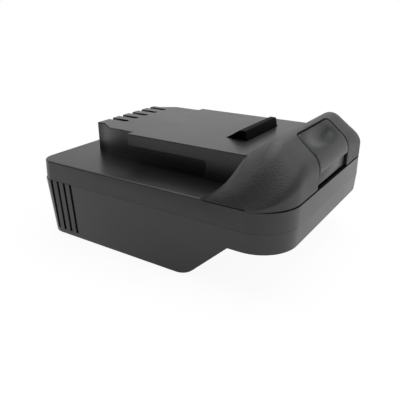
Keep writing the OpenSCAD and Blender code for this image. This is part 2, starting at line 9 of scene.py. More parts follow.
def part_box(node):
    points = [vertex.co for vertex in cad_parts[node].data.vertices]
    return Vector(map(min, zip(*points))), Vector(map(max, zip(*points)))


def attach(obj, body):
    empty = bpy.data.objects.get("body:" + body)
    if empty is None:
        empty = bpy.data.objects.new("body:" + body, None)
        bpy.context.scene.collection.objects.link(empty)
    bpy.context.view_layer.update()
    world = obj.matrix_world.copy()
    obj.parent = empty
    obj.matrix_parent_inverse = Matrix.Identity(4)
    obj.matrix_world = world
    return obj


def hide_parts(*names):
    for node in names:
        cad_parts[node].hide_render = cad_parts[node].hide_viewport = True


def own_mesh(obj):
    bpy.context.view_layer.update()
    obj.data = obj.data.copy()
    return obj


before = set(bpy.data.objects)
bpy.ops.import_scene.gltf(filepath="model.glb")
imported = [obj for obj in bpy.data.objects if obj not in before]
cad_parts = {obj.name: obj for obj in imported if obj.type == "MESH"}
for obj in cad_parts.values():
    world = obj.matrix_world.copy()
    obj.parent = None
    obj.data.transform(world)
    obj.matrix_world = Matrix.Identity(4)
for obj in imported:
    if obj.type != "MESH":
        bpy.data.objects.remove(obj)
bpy.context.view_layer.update()        # metres, +X to the nose, +Z up, the ground at 0

# Lower housing: the leaning skirt with the battery channel under it and grip grooves at
# its rear corners. It is one injection moulding in charcoal ABS, with the small corner
# radii that a mould leaves, and it closes the shell from below.
MM = 0.001
merge_distance = 0.01 * MM
flat_angle = math.radians(0.6)
sharp_angle = math.radians(35)
bevel_segments = 3
charcoal = (0.0065, 0.0068, 0.0071)


class Socket:
    """An output of a node. Arithmetic on it adds Math nodes to the same tree."""

    def __init__(self, tree, output=None):
        self.tree = tree
        self.output = output

    def make(self, kind, settings=None, inputs=None, output=0):
        """Adds one node, sets it up, then fills or links its sockets."""
        node = self.tree.nodes.new(kind)
        for name, value in (settings or {}).items():
            setattr(node, name, value)
        for name, value in (inputs or {}).items():
            if isinstance(value, Socket):
                self.tree.links.new(value.output, node.inputs[name])
            else:
                node.inputs[name].default_value = value
        return Socket(self.tree, node.outputs[output] if len(node.outputs) else None)

    def math(self, operation, *values):
        return self.make("ShaderNodeMath", {"operation": operation}, dict(enumerate(values)))

    def __add__(self, other):
        return self.math("ADD", self, other)

    def __radd__(self, other):
        return self.math("ADD", other, self)

    def __sub__(self, other):
        return self.math("SUBTRACT", self, other)

    def __rsub__(self, other):
        return self.math("SUBTRACT", other, self)

    def __mul__(self, other):
        return self.math("MULTIPLY", self, other)

    def __rmul__(self, other):
        return self.math("MULTIPLY", other, self)

    def __truediv__(self, other):
        return self.math("DIVIDE", self, other)

    def least(self, other):
        return self.math("MINIMUM", self, other)

    def most(self, other):
        return self.math("MAXIMUM", self, other)

    def between(self, low, high):
        return self.most(low).least(high)

    def mixed(self, first, second):
        """Blends two colours, with this socket as the share of the second."""
        return self.make("ShaderNodeMix", {"data_type": "RGBA"}, {0: self, 6: first, 7: second}, 2)


def rgba(colour, gain=1.0):
    return tuple(channel * gain for channel in colour) + (1.0,)


def noise(start, place, feature, detail=2.0):
    """Noise with features of about that size, from 0 to 1."""
    return start.make("ShaderNodeTexNoise", None,
        {"Vector": place, "Scale": 1 / feature, "Detail": detail, "Roughness": 0.55}, "Fac")


def moulded_plastic(name, colour, roughness, grain, depth, specular=0.5):
    """Satin moulded plastic: a fine grain, with gloss and tone that drift a little."""
    drift_size = 14 * MM
    speck_size = 0.9 * MM
    drift_share = 0.7
    tone_spread = 0.14
    drift_gloss = 0.10
    grain_gloss = 0.12
    material = bpy.data.materials.new(name)
    material.use_nodes = True
    shader = material.node_tree.nodes["Principled BSDF"]
    start = Socket(material.node_tree)
    place = start.make("ShaderNodeTexCoord", output="Object")
    drift = noise(start, place, drift_size)
    speck = noise(start, place, speck_size)
    texture = noise(start, place, grain, 3.0)
    mottle = drift * drift_share + speck * (1 - drift_share)
    tone = mottle.mixed(rgba(colour, 1 - tone_spread), rgba(colour, 1 + tone_spread))
    gloss = roughness + (drift - 0.5) * drift_gloss + (texture - 0.5) * grain_gloss
    bump = start.make("ShaderNodeBump", None, {"Strength": 1.0, "Distance": depth, "Height": texture})
    shader.inputs["Specular IOR Level"].default_value = specular
    links = material.node_tree.links
    links.new(tone.output, shader.inputs["Base Color"])
    links.new(gloss.output, shader.inputs["Roughness"])
    links.new(bump.output, shader.inputs["Normal"])
    return material


def show(name, mesh, material, body, slot, *nodes):
    """Puts a finished mesh in the scene, on its body, in place of its CAD nodes."""
    piece = bpy.data.objects.new(name, mesh)
    bpy.context.scene.collection.objects.link(piece)
    mesh.materials.clear()
    mesh.materials.append(material)
    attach(piece, body)
    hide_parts(*nodes)
    return piece


def baked(mesh, modify):
    """The mesh with its modifiers applied. modify adds them to the object that it is given."""
    carrier = bpy.data.objects.new("carrier", mesh)
    bpy.context.scene.collection.objects.link(carrier)
    modify(carrier)
    seen = carrier.evaluated_get(bpy.context.evaluated_depsgraph_get())
    result = bpy.data.meshes.new_from_object(seen)
    bpy.data.objects.remove(carrier)
    return result


def moulding(node, radius_of, reshape=None):
    """A copy of a CAD node whose convex edges are rounded by radius_of(ends, normals), with
    ends and radius in millimetres. reshape may move its points first."""
    shape = bmesh.new()
    shape.from_mesh(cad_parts[node].data)
    bmesh.ops.remove_doubles(shape, verts=shape.verts, dist=merge_distance)
    bmesh.ops.dissolve_limit(shape, angle_limit=flat_angle, verts=shape.verts, edges=shape.edges)
    if reshape:
        reshape(shape)
    weights = shape.edges.layers.float.new("bevel_weight_edge")
    radii = {}
    for edge in shape.edges:
        if len(edge.link_faces) == 2 and edge.is_convex and edge.calc_face_angle() > sharp_angle:
            ends = [vert.co / MM for vert in edge.verts]
            radii[edge] = radius_of(ends, [face.normal for face in edge.link_faces])
    largest = max(radii.values())
    for edge, radius in radii.items():
        edge[weights] = radius / largest
    for edge in shape.edges:
        edge.smooth = len(edge.link_faces) != 2 or edge.calc_face_angle() < sharp_angle
    for face in shape.faces:
        face.smooth = True
    mesh = bpy.data.meshes.new(node)
    shape.to_mesh(mesh)
    shape.free()

    def add_bevel(carrier):
        bevel = carrier.modifiers.new("edges", "BEVEL")
        bevel.limit_method = "WEIGHT"
        bevel.offset_type = "OFFSET"
        bevel.width = largest * MM
        bevel.segments = bevel_segments
        bevel.use_clamp_overlap = False
        bevel.harden_normals = True

    return baked(mesh, add_bevel)


skirt_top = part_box("lower_housing")[1].z / MM
level_slack = 0.1


def skirt_radius(ends, normals):
    """Rounds the bottom edges, the grip grooves and the channel, but not the seam."""
    bottom_r = 0.4
    groove_r = 0.15
    inner_r = 0.3
    channel_half = 34.5
    rear_wall = -40
    channel_top = 15
    underside_top = 17
    facing_down = -0.5
    grooves_from = -28
    outside = all(abs(end.y) > channel_half or end.x < rear_wall for end in ends)
    level = max(end.z for end in ends)
    if all(end.z > skirt_top - level_slack for end in ends):
        return 0.0
    if not outside:
        return inner_r if level < channel_top else 0.0
    if any(normal.z < facing_down for normal in normals) and level < underside_top:
        return bottom_r
    return groove_r if all(end.x < grooves_from for end in ends) else 0.0


charcoal_plastic = moulded_plastic("charcoal_plastic", charcoal, 0.31, 0.4 * MM, 0.02 * MM)
show("skirt_moulding", moulding("lower_housing", skirt_radius), charcoal_plastic,
    "shell", "housing", "lower_housing")

# Battery terminal block: a black moulded block screwed up against the channel's ceiling,
# with four bent brass blades set in it that reach forward to meet the battery.
tray_black = (0.016, 0.016, 0.017)
brass = (0.72, 0.50, 0.20)


def small_edges(ends, normals):
    edge_r = 0.25
    return edge_r


def strip_metal(name, colour, roughness, brushed):
    """Rolled strip: metal with a faint rolling grain along X and dull patches."""
    rolling = (1 / 9, 1.0, 1.0)
    patch_size = 3 * MM
    dark, light = 0.82, 1.06
    line_gloss = 0.16
    patch_gloss = 0.12
    line_depth = 0.003 * MM
    material = bpy.data.materials.new(name)
    material.use_nodes = True
    shader = material.node_tree.nodes["Principled BSDF"]
    start = Socket(material.node_tree)
    place = start.make("ShaderNodeTexCoord", output="Object")
    along = start.make("ShaderNodeVectorMath", {"operation": "MULTIPLY"}, {0: place, 1: rolling})
    lines = noise(start, along, brushed, 4.0)
    patches = noise(start, place, patch_size)
    tone = patches.mixed(rgba(colour, dark), rgba(colour, light))
    gloss = roughness + (lines - 0.5) * line_gloss + (patches - 0.5) * patch_gloss
    bump = start.make("ShaderNodeBump", None, {"Strength": 1.0, "Distance": line_depth, "Height": lines})
    shader.inputs["Metallic"].default_value = 1.0
    links = material.node_tree.links
    links.new(tone.output, shader.inputs["Base Color"])
    links.new(gloss.output, shader.inputs["Roughness"])
    links.new(bump.output, shader.inputs["Normal"])
    return material


def keep(node, material):
    """Leaves a CAD node's own mesh showing, in its finish."""
    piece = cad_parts[node]
    piece.data.materials.clear()
    piece.data.materials.append(material)


tray_plastic = moulded_plastic("tray_plastic", tray_black, 0.5, 0.3 * MM, 0.01 * MM)
contact_brass = strip_metal("contact_brass", brass, 0.32, 0.12 * MM)
show("battery_terminal_block", moulding("terminal_block", small_edges), tray_plastic,
    "shell", "tray", "terminal_block")
for blade in ("blade_positive", "blade_sense_1", "blade_sense_2", "blade_negative"):
    keep(blade, contact_brass)

# Screws: pan heads with a cross recess and a coarse thread for plastic, in bright zinc.
# Two hold the terminal block, two the contact tray, and four close the shell from below.
steel = (0.56, 0.57, 0.58)


def tree_with(name, sizes):
    """A Geometry Nodes tree with a named input for its material and for each size."""
    tree = bpy.data.node_groups.new(name, "GeometryNodeTree")
    tree.interface.new_socket("Geometry", in_out="OUTPUT", socket_type="NodeSocketGeometry")
    kinds = {"Geometry": "NodeSocketGeometry", "Material": "NodeSocketMaterial"}
    kinds.update({size: "NodeSocketFloat" for size in sizes})
    keys = {}
    for label, kind in kinds.items():
        made = tree.interface.new_socket(label, in_out="INPUT", socket_type=kind)
        keys[label] = made.identifier
    entry = tree.nodes.new("NodeGroupInput")
    return tree, {label: Socket(tree, entry.outputs[label]) for label in kinds}, keys


def finish_tree(tree, geometry, material):
    """Realizes what the tree made, sets its material and sends it out."""
    start = Socket(tree)
    real = start.make("GeometryNodeRealizeInstances", None, {"Geometry": geometry})
    painted = start.make("GeometryNodeSetMaterial", None, {"Geometry": real, "Material": material})
    start.make("NodeGroupOutput", None, {"Geometry": painted})


def grown(mesh, tree, keys, material, sizes):
    """The mesh that the tree makes from this one, in this material and at these sizes."""
    def add_tree(carrier):
        modifier = carrier.modifiers.new("tree", "NODES")
        modifier.node_group = tree
        modifier[keys["Material"]] = material
        for size, value in sizes.items():
            modifier[keys[size]] = value

    return baked(mesh, add_tree)


def point_mesh(points, edges=()):
    mesh = bpy.data.meshes.new("points")
    mesh.from_pydata([tuple(point) for point in points], list(edges), [])
    return mesh


def screw_tree():
    """A screw at every point, its head below the point and its tip above."""
    sides = 32
    crown_share = 0.8
    recess_len, recess_w = 1.15, 0.27
    body_share = 0.9
    root_share = 0.86
    tip_share = 0.3
    wound_share, wound_from = 0.86, 0.1
    ridge_at, ridge_r = 0.8, 0.2
    tree, size, keys = tree_with("screws",
        ["Head diameter", "Head height", "Shank diameter", "Length", "Thread pitch"])
    start = Socket(tree)
    head_r = size["Head diameter"] / 2
    shank_r = size["Shank diameter"] / 2
    height = size["Head height"]

    def moved(geometry, x=0.0, y=0.0, z=0.0, turn=0.0):
        spot = start.make("ShaderNodeCombineXYZ", None, {"X": x, "Y": y, "Z": z})
        return start.make("GeometryNodeTransform", None,
            {"Geometry": geometry, "Translation": spot, "Rotation": (0.0, 0.0, turn)})

    crown = start.make("GeometryNodeMeshCone", None, {"Vertices": sides, "Side Segments": 3,
        "Radius Top": head_r, "Radius Bottom": head_r * crown_share, "Depth": height})
    crown = moved(crown, z=height * -1.0)
    bar_size = start.make("ShaderNodeCombineXYZ", None,
        {"X": head_r * recess_len, "Y": head_r * recess_w, "Z": height})
    bar = start.make("GeometryNodeMeshCube", None, {"Size": bar_size})
    recess = start.make("GeometryNodeJoinGeometry")
    for turn in (0.0, math.pi / 2):
        placed = moved(bar, z=height * -1.0, turn=turn)
        start.tree.links.new(placed.output, recess.output.node.inputs[0])
    union = start.make("GeometryNodeMeshBoolean", {"operation": "UNION"}, {"Mesh 2": recess})
    head = start.make("GeometryNodeMeshBoolean", {"operation": "DIFFERENCE"},
        {"Mesh 1": crown, "Mesh 2": union})
    body_len = size["Length"] * body_share
    shank = start.make("GeometryNodeMeshCylinder", None,
        {"Vertices": sides, "Radius": shank_r * root_share, "Depth": body_len})
    shank = moved(shank, z=body_len * 0.5)
    tip_len = size["Length"] - body_len
    tip = start.make("GeometryNodeMeshCone", None, {"Vertices": sides, "Depth": tip_len,
        "Radius Top": shank_r * tip_share, "Radius Bottom": shank_r * root_share})
    tip = moved(tip, z=body_len)
    wound = body_len * wound_share
    helix = start.make("GeometryNodeCurveSpiral", None, {"Resolution": 20,
        "Rotations": wound / size["Thread pitch"], "Start Radius": shank_r * ridge_at,
        "End Radius": shank_r * ridge_at, "Height": wound})
    ridge = start.make("GeometryNodeCurvePrimitiveCircle", None,
        {"Resolution": 4, "Radius": shank_r * ridge_r})
    thread = start.make("GeometryNodeCurveToMesh", None,
        {"Curve": helix, "Profile Curve": ridge, "Fill Caps": True})
    thread = moved(thread, z=body_len * wound_from)
    whole = start.make("GeometryNodeJoinGeometry")
    for part in (thread, tip, shank, head):
        start.tree.links.new(part.output, whole.output.node.inputs[0])
    placed = start.make("GeometryNodeInstanceOnPoints", None,
        {"Points": size["Geometry"], "Instance": whole})
    finish_tree(tree, placed, size["Material"])
    return tree, keys


zinc_steel = strip_metal("zinc_steel", steel, 0.3, 0.2 * MM)
screws, screw_keys = screw_tree()
small_screw = {"Head diameter": 4.2 * MM, "Head height": 1.4 * MM,
    "Shank diameter": 2.0 * MM, "Thread pitch": 0.9 * MM}
housing_screw = {"Head diameter": 5.6 * MM, "Head height": 2.0 * MM,
    "Shank diameter": 3.0 * MM, "Thread pitch": 1.3 * MM}
housing_screw_len = 12.5 * MM


def drive_screws(node, name, sizes, length):
    """Screws of that length in place of a CAD node of screws that stand in pairs. The rear
    pair's heads are at the node's bottom, and the front pair's tips at its top."""
    one_pair = 2.5
    low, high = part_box(node)
    head_r = sizes["Head diameter"] / 2
    side = high.y - head_r
    seats = {low.x + head_r: low.z + sizes["Head height"]}
    if high.x - low.x > one_pair * head_r:
        seats[high.x - head_r] = high.z - length
    points = [(x, y, seat) for x, seat in seats.items() for y in (-side, side)]
    mesh = grown(point_mesh(points), screws, screw_keys, zinc_steel, dict(sizes, Length=length))
    show(name, mesh, zinc_steel, "shell", "screw", node)


def shank_length(node):
    """Length of a pair of small screws below the head, from the node's height."""
    low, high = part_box(node)
    return high.z - low.z - small_screw["Head height"]


drive_screws("block_screws", "block_screw_pair", small_screw, shank_length("block_screws"))
drive_screws("carrier_screws", "carrier_screw_pair", small_screw, shank_length("carrier_screws"))
drive_screws("housing_screws", "housing_screw_set", housing_screw, housing_screw_len)

# Contact tray: a black moulded tray under the terminal tongue that holds five lyre-shaped
# brass contacts. Their tails pass through a small green board with one chip resistor.
board_green = (0.012, 0.085, 0.040)
chip_black = (0.02, 0.02, 0.022)


def lacquered_board(name, colour):
    """Glass-cloth board under green lacquer: a faint weave below a clear coat."""
    weave = 0.55 * MM
    cloud_size = 4 * MM
    tone_spread = 0.2
    roughness, cloud_gloss = 0.42, 0.1
    coat, coat_roughness = 0.6, 0.15
    material = bpy.data.materials.new(name)
    material.use_nodes = True
    shader = material.node_tree.nodes["Principled BSDF"]
    start = Socket(material.node_tree)
    place = start.make("ShaderNodeTexCoord", output="Object")
    axes = start.make("ShaderNodeSeparateXYZ", None, {"Vector": place})
    across = Socket(material.node_tree, axes.output.node.outputs["Y"])
    turns = 2 * math.pi / weave
    cloth = (axes * turns).math("SINE", axes * turns) * across.math("SINE", across * turns) * 0.5 + 0.5
    cloud = noise(start, place, cloud_size)
    pattern = cloth * 0.5 + cloud * 0.5
    tone = pattern.mixed(rgba(colour, 1 - tone_spread), rgba(colour, 1 + tone_spread))
    shader.inputs["Coat Weight"].default_value = coat
    shader.inputs["Coat Roughness"].default_value = coat_roughness
    gloss = roughness + (cloud - 0.5) * cloud_gloss
    links = material.node_tree.links
    links.new(tone.output, shader.inputs["Base Color"])
    links.new(gloss.output, shader.inputs["Roughness"])
    return material


show("contact_tray", moulding("contact_carrier", small_edges), tray_plastic,
    "shell", "tray", "contact_carrier")
for contact in ("positive", "sense_1", "sense_2", "sense_3", "negative"):
    keep("contact_" + contact, contact_brass)
keep("terminal_board", lacquered_board("board_lacquer", board_green))
chip_ceramic = moulded_plastic("chip_ceramic", chip_black, 0.35, 0.2 * MM, 0.006 * MM)
keep("id_resistor", chip_ceramic)

# Wires: four stranded wires in coloured sleeves, soldered to the blades' tails and to the
# underside of the board. Each leaves its blade level and turns up in one round bend.
wire_colours = {
    "wire_positive": ("wire_red", (0.42, 0.022, 0.016)),
    "wire_sense_1": ("wire_yellow", (0.62, 0.40, 0.045)),
    "wire_sense_2": ("wire_white", (0.72, 0.72, 0.69)),
    "wire_negative": ("wire_black", (0.012, 0.012, 0.013)),
}


def wire_tree():
    """A round sleeve along the mesh's edges, with its corners bent to a radius."""
    tree, size, keys = tree_with("wires", ["Diameter", "Bend radius"])
    start = Socket(tree)
    route = start.make("GeometryNodeMeshToCurve", None, {"Mesh": size["Geometry"]})
    bent = start.make("GeometryNodeFilletCurve", {"mode": "POLY"},
        {"Curve": route, "Count": 14, "Radius": size["Bend radius"], "Limit Radius": True})
    ring = start.make("GeometryNodeCurvePrimitiveCircle", None,
        {"Resolution": 20, "Radius": size["Diameter"] / 2})
    sleeve = start.make("GeometryNodeCurveToMesh", None,
        {"Curve": bent, "Profile Curve": ring, "Fill Caps": True})
    smooth = start.make("GeometryNodeSetShadeSmooth", None, {"Geometry": sleeve})
    finish_tree(tree, smooth, size["Material"])
    return tree, keys


wires, wire_keys = wire_tree()
bend_share = 0.7
for node, (slot, colour) in wire_colours.items():
    low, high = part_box(node)
    diameter = high.y - low.y
    row = (low.y + high.y) / 2
    level = low.z + diameter / 2
    end_x = high.x - diameter / 2
    corners = [(low.x, row, level), (end_x, row, level), (end_x, row, high.z)]
    sleeve = moulded_plastic(slot + "_sleeve", colour, 0.42, 0.3 * MM, 0.006 * MM)
    mesh = grown(point_mesh(corners, [(0, 1), (1, 2)]), wires, wire_keys, sleeve,
        {"Diameter": diameter, "Bend radius": (high.z - level) * bend_share})
    show(node + "_sleeve", mesh, sleeve, "shell", slot, node)

# Latch springs: two steel compression springs that stand on pins in the nose floor and
# push the latch plate up. Their end turns lie flat.
spring_turns = 5
flat_turns = 0.5


def spring_tree():
    """A wound wire from the ground up, with both end turns flat."""
    tree, size, keys = tree_with("springs", ["Coil diameter", "Wire diameter", "Height", "X", "Y", "Z"])
    start = Socket(tree)
    turns = spring_turns + 2 * flat_turns
    coil_r = size["Coil diameter"] / 2
    helix = start.make("GeometryNodeCurveSpiral", None, {"Resolution": 40, "Rotations": turns,
        "Start Radius": coil_r, "End Radius": coil_r, "Height": 0.0})
    share = start.make("GeometryNodeSplineParameter", output="Factor")
    flat_share = flat_turns / turns
    climb = ((share - flat_share) / (1 - 2 * flat_share)).between(0.0, 1.0)
    lift = start.make("ShaderNodeCombineXYZ", None, {"X": size["X"], "Y": size["Y"],
        "Z": size["Z"] + climb * (size["Height"] - size["Wire diameter"]) + size["Wire diameter"] / 2})
    wound = start.make("GeometryNodeSetPosition", None, {"Geometry": helix, "Offset": lift})
    ring = start.make("GeometryNodeCurvePrimitiveCircle", None,
        {"Resolution": 12, "Radius": size["Wire diameter"] / 2})
    wire = start.make("GeometryNodeCurveToMesh", None,
        {"Curve": wound, "Profile Curve": ring, "Fill Caps": True})
    smooth = start.make("GeometryNodeSetShadeSmooth", None, {"Geometry": wire})
    finish_tree(tree, smooth, size["Material"])
    return tree, keys


spring_steel = strip_metal("spring_steel", steel, 0.26, 0.3 * MM)
springs, spring_keys = spring_tree()
spring_wire = 0.8 * MM
for side in ("left", "right"):
    node = "latch_spring_" + side
    low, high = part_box(node)
    middle = (low + high) / 2
    height = high.z - low.z
    mesh = grown(point_mesh([middle]), springs, spring_keys, spring_steel,
        {"Coil diameter": high.y - low.y - spring_wire, "Wire diameter": spring_wire,
        "Height": height, "X": middle.x, "Y": middle.y, "Z": low.z})
    piece = show(node + "_coil", mesh, spring_steel, "shell", "spring", node)
    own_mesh(piece)

# Latch: a moulded plate with a wedge tooth that stands up through the platform and holds the tool. It
# slides straight down on the springs when the button is pressed. Its finish is painted near black,
# darker than the shell, with its reflections almost turned off, as painted shade for the tooth's
# shadowed nose-facing face.
# Painted shade: near black, darker than the charcoal shell, standing in for the shadow on the latch
# tooth's nose-facing face
latch_painted_shade = (0.003, 0.003, 0.0033)
platform_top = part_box("upper_housing")[1].z / MM


def latch_radius(ends, normals):
    tooth_r = 0.35
    plate_r = 0.2
    tooth_foot = platform_top - 1
    return tooth_r if max(end.z for end in ends) > tooth_foot else plate_r


# Painted shade: the near-black colour and a specular level of 0.03 almost remove reflection, so the
# latch renders as shadow
latch_painted_shade_plastic = moulded_plastic("latch_painted_shade_plastic", latch_painted_shade, 0.6, 0.3 * MM, 0.01 * MM, 0.03)
show("latch_moulding", moulding("latch", latch_radius), latch_painted_shade_plastic, "latch_unit", "latch", "latch")

# Release button: a smooth charcoal thumb piece, flush with the nose round it. Its face is
# a rounded scoop, its edges are rolled, and a set-back skirt and two posts are below.
nose_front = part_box("nose_cover")[1].x
half_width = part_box("nose_cover")[1].y
deck = 28.6 * MM
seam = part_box("nose_cover")[0].z
nose_len = 19.4 * MM
junction = nose_front - nose_len
chin = 34.3 * MM
front_r = 7.0 * MM
front_slope = math.radians(40)
rear_slope = math.radians(35)
crest_r = 3.5 * MM
nose_corner_r = 12.5 * MM
flank_w = 18.9 * MM
flank_sweep = 7.0 * MM
platform_end = platform_top * MM
crease_angle = math.radians(50)

# Lengths along the nose's middle section: roll, thumb slope, crest and rear slope
roll_turn = math.pi / 2 - front_slope
roll_len = front_r * roll_turn
roll_end = (front_r * (1 - math.cos(roll_turn)), chin + front_r * math.sin(roll_turn))
crest_turn = front_slope + rear_slope
drop_share = math.sin(rear_slope) + math.tan(front_slope) * math.cos(rear_slope)
peak_run = (roll_end[1] - platform_end + math.tan(front_slope) * (nose_len - roll_end[0])) / drop_share
peak_depth = nose_len - peak_run * math.cos(rear_slope)
trim = crest_r * math.tan(crest_turn / 2)
slope_len = (peak_depth - roll_end[0]) / math.cos(front_slope) - trim
crest_start = roll_end[0] + slope_len * math.cos(front_slope)
crest_len = crest_r * crest_turn
tail_len = peak_run - trim
section_len = roll_len + slope_len + crest_len + tail_len


def along_section(depth):
    """Distance along the section at a depth behind the front, up to the crest."""
    if depth < roll_end[0]:
        return front_r * math.acos(1 - depth / front_r)
    if depth < crest_start:
        return roll_len + (depth - roll_end[0]) / math.cos(front_slope)
    lean = math.asin(math.sin(front_slope) - (depth - crest_start) / crest_r)
    return roll_len + slope_len + crest_r * (front_slope - lean)


def nose_tree():
    """Bends a flat sheet over the nose. A point holds its distance along the section,
    its place across, and its height above the sheet; drop lowers it straight down."""
    shoulder_power = 1.9
    tail_power = 6.0
    names = ["Front", "Junction", "Nose length", "Half width", "Corner radius", "Flank width",
        "Flank sweep", "Deck", "Floor", "Chin", "Front radius", "Front slope", "Rear slope",
        "Crest radius", "Slope length"]
    tree, size, keys = tree_with("nose_bend", names)
    start = Socket(tree)
    flat = start.make("GeometryNodeInputPosition")
    axes = start.make("ShaderNodeSeparateXYZ", None, {"Vector": flat})
    sheet = axes.output.node.outputs
    along, across, above = (Socket(tree, sheet[axis]) for axis in "XYZ")
    drop = start.make("GeometryNodeInputNamedAttribute", {"data_type": "FLOAT"}, {"Name": "drop"})

    def sin(angle):
        return start.math("SINE", angle)

    def cos(angle):
        return start.math("COSINE", angle)

    def root(value):
        return start.math("SQRT", value.most(0.0))

    def power(value, exponent):
        return start.math("POWER", value, exponent)

    side = start.math("ABSOLUTE", across)
    flank = (1.0 - (size["Half width"] - side) / size["Flank width"]).between(0.0, 1.0)
    rise = 1.0 - power(flank, shoulder_power)
    corner = size["Corner radius"]
    past_corner = (side - size["Half width"] + corner).most(0.0)
    front = size["Front"] - corner + root(corner * corner - past_corner * past_corner)
    back = size["Junction"] - size["Flank sweep"] * power(flank, tail_power)
    stretch = (front - back) / size["Nose length"]

    slope, fall = size["Front slope"], size["Rear slope"]
    full_turn = math.pi / 2 - slope
    turn = (along / size["Front radius"]).between(0.0, full_turn)
    past_roll = along - size["Front radius"] * full_turn
    line = past_roll.between(0.0, size["Slope length"])
    past_line = past_roll - size["Slope length"]
    bend = (past_line / size["Crest radius"]).between(0.0, slope + fall)
    tail = (past_line - size["Crest radius"] * (slope + fall)).most(0.0)
    lean = slope - bend
    depth = (size["Front radius"] * (1.0 - cos(turn)) + line * cos(slope)
        + size["Crest radius"] * (sin(slope) - sin(lean)) + tail * cos(fall))
    height = (size["Chin"] + size["Front radius"] * sin(turn) + line * sin(slope)
        + size["Crest radius"] * (cos(lean) - cos(slope)) - tail * sin(fall) + along.least(0.0))
    over_deck = height - size["Deck"]
    tilt = math.pi / 2 - turn - bend
    x = front - stretch * depth + above * sin(tilt) * rise
    z = (size["Deck"] + over_deck.most(0.0) * rise + over_deck.least(0.0)
        + above * (1.0 - rise * (1.0 - cos(tilt))) - drop)
    spot = start.make("ShaderNodeCombineXYZ", None, {"X": x, "Y": across, "Z": z.most(size["Floor"])})
    bent = start.make("GeometryNodeSetPosition", None, {"Geometry": size["Geometry"], "Position": spot})
    outward = start.make("GeometryNodeFlipFaces", None, {"Mesh": bent})
    smooth = start.make("GeometryNodeSetShadeSmooth", None, {"Geometry": outward})
    finish_tree(tree, smooth, size["Material"])
    return tree, keys


floor_gap = 0.05 * MM
nose_sizes = {"Front": nose_front, "Junction": junction, "Nose length": nose_len,
    "Half width": half_width, "Corner radius": nose_corner_r, "Flank width": flank_w,
    "Flank sweep": flank_sweep, "Deck": deck, "Floor": seam + floor_gap,
    "Chin": chin, "Front radius": front_r, "Front slope": front_slope, "Rear slope": rear_slope,
    "Crest radius": crest_r, "Slope length": slope_len}


def inset_loop(loop, distance):
    """The loop moved inwards, with mitred corners. The loop runs anticlockwise."""
    least_mitre = 0.35
    moved = []
    for index, point in enumerate(loop):
        before = (point - loop[index - 1]).normalized()
        after = (loop[(index + 1) % len(loop)] - point).normalized()
        first = Vector((-before.y, before.x))
        second = Vector((-after.y, after.x))
        share = max(least_mitre, 1 + first.dot(second))
        moved.append(point + (first + second) * (distance / share))
    return moved


def spaced(start, end, step):
    """Points from start up to, but not including, end."""
    count = max(1, round((end - start).length / step))
    return [start.lerp(end, index / count) for index in range(count)]


def pressed_sheet(loop, roll_r, grid_x, grid_y, height, thickness, under):
    """A closed sheet inside a loop: its edge is rolled down to roll_r, height(point) lifts
    its face, and under(point) gives the height and drop of its lower face's edge."""
    roll_steps = 4
    inset_under = 0.5 * MM
    grid_clear = 0.25 * MM
    whole_inside = 1        # keeps every triangle within the border
    tolerance = 1e-9
    rings, levels = [], []
    for step in range(roll_steps + 1):
        angle = math.pi / 2 * step / roll_steps
        rings.append(inset_loop(loop, roll_r * (1 - math.cos(angle))))
        levels.append(-roll_r * (1 - math.sin(angle)))
    count = len(loop)
    points = [point for ring in rings for point in ring]
    tops = [level for level in levels for _ in range(count)]
    clear = roll_r + grid_clear
    limit = inset_loop(loop, clear)
    grid = [Vector((x, y)) for x in grid_x for y in grid_y]
    points += [point for point in grid if inside(limit, point)]
    tops += [0.0] * (len(points) - len(tops))
    edges = [(ring * count + i, ring * count + (i + 1) % count)
        for ring in range(len(rings)) for i in range(count)]
    border = [list(range(count))]
    flat, _, faces, sources, _, _ = delaunay_2d_cdt(points, edges, border, whole_inside, tolerance)
    verts, drops = [], []
    for point, source in zip(flat, sources):
        top = tops[source[0]] if source else 0.0
        verts.append((point.x, point.y, height(point) + top))
        drops.append(0.0)
    where = {source[0]: index for index, source in enumerate(sources) if source}
    outer = [where[i] for i in range(count)]
    triangles = [tuple(face) for face in faces]
    base = len(verts)
    low_loop = inset_loop(loop, inset_under)
    low_grid = [point for point in grid if inside(inset_loop(loop, 2 * clear), point)]
    low_edges = [(i, (i + 1) % count) for i in range(count)]
    low_flat, _, low_faces, low_sources, _, _ = delaunay_2d_cdt(
        low_loop + low_grid, low_edges, border, whole_inside, tolerance)
    for point, source in zip(low_flat, low_sources):
        on_edge = source and source[0] < count
        level, drop = under(loop[source[0]]) if on_edge else (height(point) - thickness, 0.0)
        verts.append((point.x, point.y, level))
        drops.append(drop)
    low_where = {source[0]: base + index for index, source in enumerate(low_sources) if source}
    inner = [low_where[i] for i in range(count)]
    triangles += [tuple(base + i for i in reversed(face)) for face in low_faces]
    for i in range(count):
        j = (i + 1) % count
        triangles.append((outer[j], outer[i], inner[i], inner[j]))
    mesh = bpy.data.meshes.new("sheet")
    mesh.from_pydata(verts, [], triangles)
    mesh.attributes.new("drop", "FLOAT", "POINT").data.foreach_set("value", drops)
    return mesh


def inside(loop, point):
    """True for a point within the loop, by counting the edges to one side of it."""
    crossings = False
    for index, end in enumerate(loop):
        begin = loop[index - 1]
        if (begin.y > point.y) != (end.y > point.y):
            at = begin.x + (point.y - begin.y) * (end.x - begin.x) / (end.y - begin.y)
            crossings ^= point.x < at
    return crossings


def opening_loop(half, depth, corner_r, bottom, step):
    """The button's outline, from the bottom of one side, over the back to the other side."""
    corner_steps = 8
    line = spaced(Vector((bottom, half)), Vector((along_section(depth - corner_r), half)), step)
    arc = []
    for index in range(corner_steps + 1):
        angle = math.pi / 2 * index / corner_steps
        back = depth - corner_r + corner_r * math.sin(angle)
        arc.append(Vector((along_section(back), half - corner_r + corner_r * math.cos(angle))))
    top = spaced(arc[-1], Vector((arc[-1].x, -arc[-1].y)), step)[1:]
    mirrored = [Vector((point.x, -point.y)) for point in reversed(line + arc)]
    return line + arc + top + mirrored


